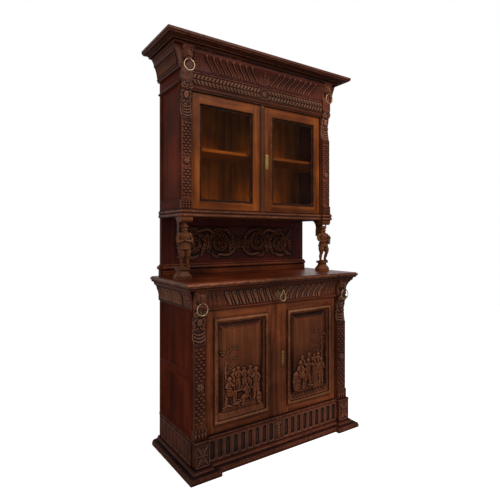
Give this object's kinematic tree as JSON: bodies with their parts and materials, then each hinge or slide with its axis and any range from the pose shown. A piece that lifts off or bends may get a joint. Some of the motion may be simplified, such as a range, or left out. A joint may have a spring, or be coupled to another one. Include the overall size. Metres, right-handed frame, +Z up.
{
  "type": "carved two-stage cupboard",
  "caption": "Two-stage carved oak cupboard: panelled doors and a drawer below, an open niche with figure supports, glazed doors above under a deep cornice.",
  "frame": {"origin": "middle of the footprint, on the floor", "axes": "+X to the right and +Y to the back as seen by someone facing the doors, +Z up"},
  "size_m": [1.294, 0.505, 2.25],
  "materials": {
    "oak_dark": "dark red-brown waxed oak",
    "oak_carved": "waxed oak, rubbed lighter on the high places",
    "oak_warm": "orange-brown waxed oak",
    "oak_light": "golden-brown oak",
    "oak_inner": "plain sawn and planed oak",
    "glass": "clear, slightly uneven",
    "brass": "dull yellow brass",
    "steel": "worn bright iron"
  },
  "bodies": {
    "case": {"plinth_frame": "oak_dark", "plinth_moulding": "oak_dark", "base_floor": "oak_dark", "side_frames": "oak_dark", "side_panels": "oak_dark", "back_boards": "oak_inner", "base_posts": "oak_dark", "drawer_rail": "oak_dark", "drawer_runners": "oak_inner", "shelves": "oak_inner", "shelf_battens": "oak_inner", "pilasters": "oak_carved", "pilaster_capitals": "oak_carved", "mask_blocks": "oak_dark", "side_friezes": "oak_dark", "bed_moulding": "oak_dark", "worktop": "oak_dark", "niche_frame": "oak_dark", "niche_panel": "oak_carved", "niche_skirt": "oak_carved", "pedestals": "oak_light", "figure_left": "oak_light", "figure_right": "oak_light", "figure_brackets": "oak_light", "upper_foot_moulding": "oak_dark", "upper_floor": "oak_dark", "upper_front_frame": "oak_dark", "upper_top": "oak_dark", "door_head_moulding": "oak_dark", "lattice_frieze": "oak_carved", "crown_frieze": "oak_carved", "cornice": "oak_dark", "lion_masks": "oak_carved", "pivot_pins": "steel"},
    "drawer": {"drawer_front": "oak_carved", "drawer_box": "oak_inner", "drawer_bottom": "oak_inner", "drawer_pull_plate": "brass"},
    "drawer_ring": {"drawer_ring": "steel"},
    "base_door_left": {"base_door_frame_left": "oak_carved", "base_door_panel_left": "oak_carved", "base_door_moulding_left": "oak_carved"},
    "base_door_right": {"base_door_frame_right": "oak_carved", "base_door_panel_right": "oak_carved", "base_door_moulding_right": "oak_carved", "base_lock": "brass"},
    "base_lock_bolt": {"base_lock_bolt": "steel"},
    "upper_door_left": {"upper_door_frame_left": "oak_warm", "upper_glass_left": "glass", "upper_glass_beads_left": "oak_warm"},
    "upper_door_right": {"upper_door_frame_right": "oak_warm", "upper_glass_right": "glass", "upper_glass_beads_right": "oak_warm", "meeting_strip": "oak_warm", "upper_lock": "brass"},
    "upper_lock_bolt": {"upper_lock_bolt": "steel"},
    "base_ring_left": {"base_ring_left": "steel"},
    "base_ring_right": {"base_ring_right": "steel"},
    "upper_ring_left": {"upper_ring_left": "steel"},
    "upper_ring_right": {"upper_ring_right": "steel"}
  },
  "joints": [
    {"name": "drawer_slide", "type": "slide", "parent": "case", "child": "drawer", "axis": [0, -1, 0], "range_m": [0, 0.25]},
    {"name": "drawer_ring_hinge", "type": "hinge", "parent": "drawer", "child": "drawer_ring", "pos_m": [0, -0.2235, 0.895], "axis": [-1, 0, 0], "range_deg": [0, 80]},
    {"name": "base_door_left_hinge", "type": "hinge", "parent": "case", "child": "base_door_left", "pos_m": [-0.448, -0.1545, 0.5], "axis": [0, 0, -1], "range_deg": [0, 78]},
    {"name": "base_door_right_hinge", "type": "hinge", "parent": "case", "child": "base_door_right", "pos_m": [0.448, -0.1545, 0.5], "axis": [0, 0, 1], "range_deg": [0, 78]},
    {"name": "base_lock_slide", "type": "slide", "parent": "base_door_right", "child": "base_lock_bolt", "axis": [-1, 0, 0], "range_m": [0, 0.01]},
    {"name": "upper_door_left_hinge", "type": "hinge", "parent": "case", "child": "upper_door_left", "pos_m": [-0.459, -0.0085, 1.667], "axis": [0, 0, -1], "range_deg": [0, 90]},
    {"name": "upper_door_right_hinge", "type": "hinge", "parent": "case", "child": "upper_door_right", "pos_m": [0.459, -0.0085, 1.667], "axis": [0, 0, 1], "range_deg": [0, 90]},
    {"name": "upper_lock_slide", "type": "slide", "parent": "upper_door_right", "child": "upper_lock_bolt", "axis": [-1, 0, 0], "range_m": [0, 0.01]},
    {"name": "base_ring_left_hinge", "type": "hinge", "parent": "case", "child": "base_ring_left", "pos_m": [-0.5005, -0.2125, 0.865], "axis": [-1, 0, 0], "range_deg": [0, 85]},
    {"name": "base_ring_right_hinge", "type": "hinge", "parent": "case", "child": "base_ring_right", "pos_m": [0.5005, -0.2125, 0.865], "axis": [-1, 0, 0], "range_deg": [0, 85]},
    {"name": "upper_ring_left_hinge", "type": "hinge", "parent": "case", "child": "upper_ring_left", "pos_m": [-0.505, -0.0725, 2.13], "axis": [-1, 0, 0], "range_deg": [0, 85]},
    {"name": "upper_ring_right_hinge", "type": "hinge", "parent": "case", "child": "upper_ring_right", "pos_m": [0.505, -0.0725, 2.13], "axis": [-1, 0, 0], "range_deg": [0, 85]}
  ]
}
